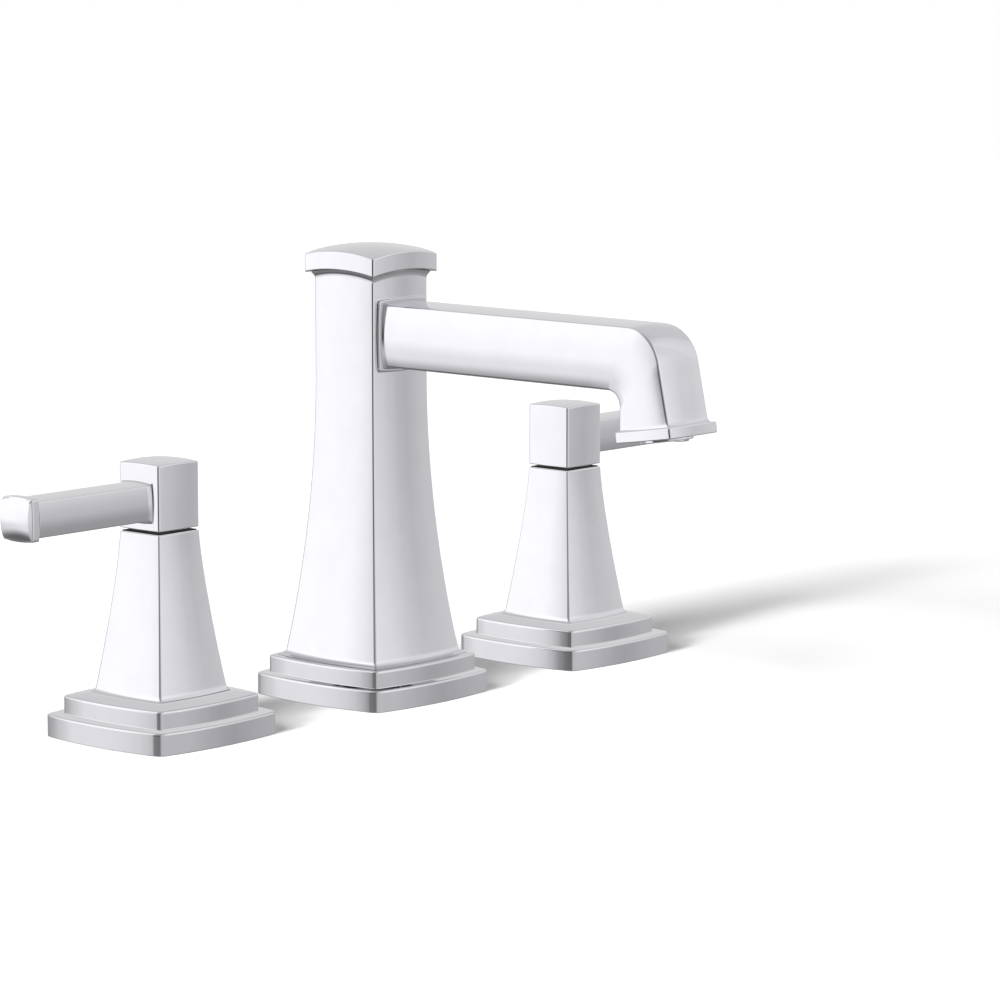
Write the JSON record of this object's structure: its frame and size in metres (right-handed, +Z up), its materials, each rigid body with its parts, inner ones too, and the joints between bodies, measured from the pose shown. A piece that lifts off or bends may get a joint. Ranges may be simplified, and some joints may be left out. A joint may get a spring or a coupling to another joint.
{
  "type": "widespread bathroom faucet",
  "caption": "Widespread bathroom faucet: a square flared spout column with a level arm bent down to an aerator, and separate quarter-turn lever valves on stepped plates.",
  "frame": {"origin": "centre of the spout's footprint on the top of the sink deck", "axes": "+X along the row to the user's right, -Y towards the user and along the spout, +Z up"},
  "size_m": [0.332, 0.1739, 0.2298],
  "materials": {
    "polished_chrome": "mirror polished plating",
    "turned_brass": "turned, unplated",
    "zinc_plated_steel": "zinc plated",
    "black_rubber": "matte",
    "black_nylon": "moulded",
    "alumina_ceramic": "lapped",
    "white_acetal": "moulded"
  },
  "bodies": {
    "faucet_body": {"left_escutcheon": "polished_chrome", "left_base_gasket": "black_rubber", "left_rubber_washer": "black_rubber", "left_clamp_washer": "zinc_plated_steel", "left_mounting_nut": "turned_brass", "left_valve_body": "turned_brass", "left_inlet_tail": "turned_brass", "left_outlet_nipple": "turned_brass", "left_cartridge_body": "white_acetal", "left_bonnet_nut": "turned_brass", "left_seat_seal": "black_rubber", "left_fixed_disc": "alumina_ceramic", "left_handle_base": "polished_chrome", "left_stem_bushing": "black_nylon", "right_escutcheon": "polished_chrome", "right_base_gasket": "black_rubber", "right_rubber_washer": "black_rubber", "right_clamp_washer": "zinc_plated_steel", "right_mounting_nut": "turned_brass", "right_valve_body": "turned_brass", "right_inlet_tail": "turned_brass", "right_outlet_nipple": "turned_brass", "right_cartridge_body": "white_acetal", "right_bonnet_nut": "turned_brass", "right_seat_seal": "black_rubber", "right_fixed_disc": "alumina_ceramic", "right_handle_base": "polished_chrome", "right_stem_bushing": "black_nylon", "spout_escutcheon": "polished_chrome", "spout_base_gasket": "black_rubber", "spout_rubber_washer": "black_rubber", "spout_clamp_washer": "zinc_plated_steel", "spout_mounting_nut": "turned_brass", "spout_column": "polished_chrome", "spout_cap": "polished_chrome", "spout_arm": "polished_chrome", "arm_seal_ring": "black_rubber", "arm_clip": "zinc_plated_steel", "riser_tube": "white_acetal", "aerator_housing": "polished_chrome", "aerator_insert": "white_acetal", "aerator_gasket": "black_rubber", "spout_shank": "turned_brass", "tee_seal": "black_rubber", "inlet_tee": "turned_brass"},
    "left_handle": {"left_moving_disc": "alumina_ceramic", "left_stem": "turned_brass", "left_handle_hub": "polished_chrome", "left_set_screw": "zinc_plated_steel", "left_lever": "polished_chrome", "left_lever_tip": "polished_chrome"},
    "right_handle": {"right_moving_disc": "alumina_ceramic", "right_stem": "turned_brass", "right_handle_hub": "polished_chrome", "right_set_screw": "zinc_plated_steel", "right_lever": "polished_chrome", "right_lever_tip": "polished_chrome"}
  },
  "joints": [
    {"name": "left_handle_turn", "type": "hinge", "parent": "faucet_body", "child": "left_handle", "pos_m": [-0.1016, 0, 0.0784], "axis": [0, 0, 1], "range_deg": [0, 90]},
    {"name": "right_handle_turn", "type": "hinge", "parent": "faucet_body", "child": "right_handle", "pos_m": [0.1016, 0, 0.0784], "axis": [0, 0, 1], "range_deg": [-90, 0]}
  ]
}
